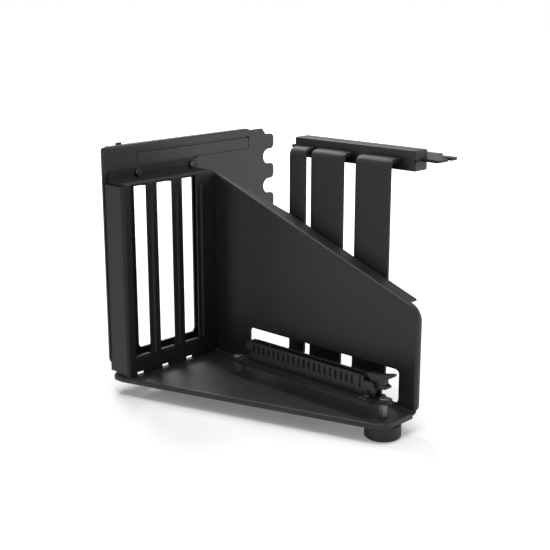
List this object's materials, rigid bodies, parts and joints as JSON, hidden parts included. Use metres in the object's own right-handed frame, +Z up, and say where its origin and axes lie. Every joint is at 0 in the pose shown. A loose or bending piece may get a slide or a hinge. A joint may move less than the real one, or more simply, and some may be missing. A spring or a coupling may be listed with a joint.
{
  "type": "vertical gpu bracket",
  "caption": "Folded black bracket that holds an expansion card upright in a computer case, with slotted frame, sloping support panel, riser slot, flat cables and plug.",
  "frame": {"origin": "back face of the rear slot plate, in the plane of the support panel's front face, at half the plate's height", "axes": "+X from the slot plate towards the foot, +Y from the card side towards the cable side, +Z up"},
  "size_m": [0.1825, 0.1493, 0.1548],
  "materials": {
    "black_coat": "satin powder coat",
    "black_steel": "black zinc",
    "bright_steel": "bright zinc",
    "black_board": "black solder mask",
    "film": "matt film",
    "gold": "gold plating",
    "chip": "ceramic",
    "black_plastic": "moulded",
    "shell": "moulded, fine grain",
    "ribbon": "matt tape sleeve",
    "rubber": "moulded"
  },
  "bodies": {
    "bracket": {"slot_plate": "black_coat", "slot_frame": "black_coat", "support_panel": "black_coat", "frame_screws": "black_steel", "frame_rivets": "black_steel", "base_screw": "black_steel", "board_screws": "bright_steel", "foot_screw": "black_steel", "standoffs": "bright_steel", "riser_board": "black_board", "plug_board": "black_board", "board_film": "film", "board_rings": "gold", "plug_contacts": "gold", "slot_contacts": "gold", "board_chips": "chip", "slot_housing": "black_plastic", "plug_upper_shell": "shell", "plug_lower_shell": "shell", "foot": "rubber", "ribbon_left": "ribbon", "ribbon_middle": "ribbon", "ribbon_right": "ribbon"},
    "latch": {"slot_latch": "black_plastic"}
  },
  "joints": [
    {"name": "latch_hinge", "type": "hinge", "parent": "bracket", "child": "latch", "pos_m": [0.1603, -0.0158, -0.0591], "axis": [0, 1, 0], "range_deg": [0, 25]}
  ]
}
